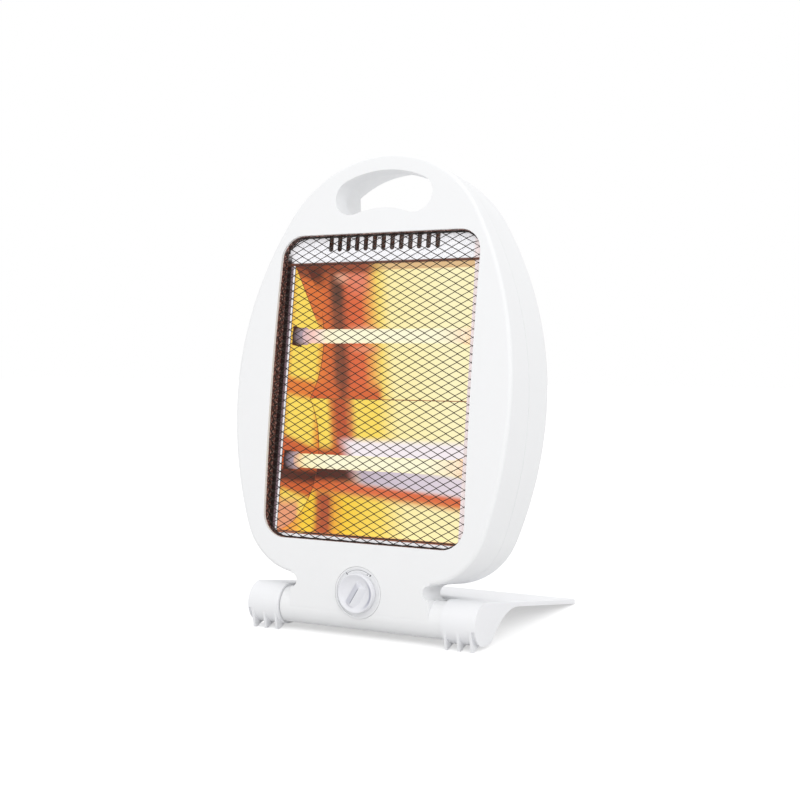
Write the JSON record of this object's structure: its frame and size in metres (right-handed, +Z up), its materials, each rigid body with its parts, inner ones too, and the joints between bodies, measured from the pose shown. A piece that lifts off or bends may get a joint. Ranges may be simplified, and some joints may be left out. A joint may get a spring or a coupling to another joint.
{
  "type": "quartz heater",
  "caption": "Small portable radiant heater: an egg-shaped leaning body with a mesh guard over glowing quartz tubes, a handle hole, a rotary switch and a folding flat stand.",
  "frame": {"origin": "on the floor, under the middle of the heater's footprint and body", "axes": "+X to the right as seen from the front, +Y to the back, +Z up"},
  "size_m": [0.253, 0.2272, 0.3934],
  "materials": {
    "cover_plastic": "satin white moulded plastic",
    "stand_plastic": "satin white moulded plastic",
    "screw_steel": "zinc-plated steel",
    "guard_wire": "dark, heat-tinted expanded steel",
    "flange_sheet": "bright mill finish",
    "reflector_sheet": "bright rolled sheet, lit orange and yellow by the tubes",
    "quartz_glass": "frosted quartz, glowing",
    "coil_wire": "resistance wire, red hot",
    "cap_ceramic": "unglazed ceramic",
    "bracket_steel": "plated spring steel",
    "dial_plastic": "satin white with grey print",
    "knob_plastic": "satin light grey-white",
    "shaft_plastic": "moulded plastic",
    "switch_plastic": "black moulded plastic",
    "terminal_plastic": "cream moulded plastic",
    "weight_steel": "turned steel",
    "cutout_metal": "drawn aluminium",
    "gland_rubber": "white rubber-like plastic",
    "clamp_plastic": "moulded plastic",
    "lead_insulation": "heat-proof braided sleeving"
  },
  "bodies": {
    "housing": {"front_cover": "cover_plastic", "rear_cover": "cover_plastic", "cover_screws": "screw_steel", "guard_mesh": "guard_wire", "reflector_flange": "flange_sheet", "reflector_screws": "screw_steel", "reflector_upper": "reflector_sheet", "reflector_lower": "reflector_sheet", "reflector_end_left": "reflector_sheet", "reflector_end_right": "reflector_sheet", "upper_quartz_tube": "quartz_glass", "upper_heating_coil": "coil_wire", "upper_cap_left": "cap_ceramic", "upper_cap_right": "cap_ceramic", "lower_quartz_tube": "quartz_glass", "lower_heating_coil": "coil_wire", "lower_cap_left": "cap_ceramic", "lower_cap_right": "cap_ceramic", "tube_brackets": "bracket_steel", "dial_plate": "dial_plastic", "rotary_switch": "switch_plastic", "switch_screws": "screw_steel", "terminal_block": "terminal_plastic", "tip_over_switch": "switch_plastic", "micro_switch": "switch_plastic", "thermal_cutout": "cutout_metal", "cord_gland": "gland_rubber", "cord_clamp": "clamp_plastic", "clamp_screws": "screw_steel", "supply_leads": "lead_insulation", "tube_leads_left": "lead_insulation", "tube_leads_right": "lead_insulation"},
    "stand": {"folding_stand": "stand_plastic"},
    "knob": {"control_knob": "knob_plastic", "switch_shaft": "shaft_plastic"},
    "tip_weight": {"tip_over_weight": "weight_steel"}
  },
  "joints": [
    {"name": "stand_fold", "type": "hinge", "parent": "housing", "child": "stand", "pos_m": [0, -0.09343, 0.02], "axis": [1, 0, 0], "range_deg": [-90, 0]},
    {"name": "knob_turn", "type": "hinge", "parent": "housing", "child": "knob", "pos_m": [0, -0.10793, 0.03779], "axis": [0, 0.9991, -0.0426], "range_deg": [-60, 0]},
    {"name": "weight_swing", "type": "hinge", "parent": "housing", "child": "tip_weight", "pos_m": [0.023, -0.05442, 0.0641], "axis": [0, 0.9903, -0.1392], "range_deg": [-12, 12]}
  ]
}
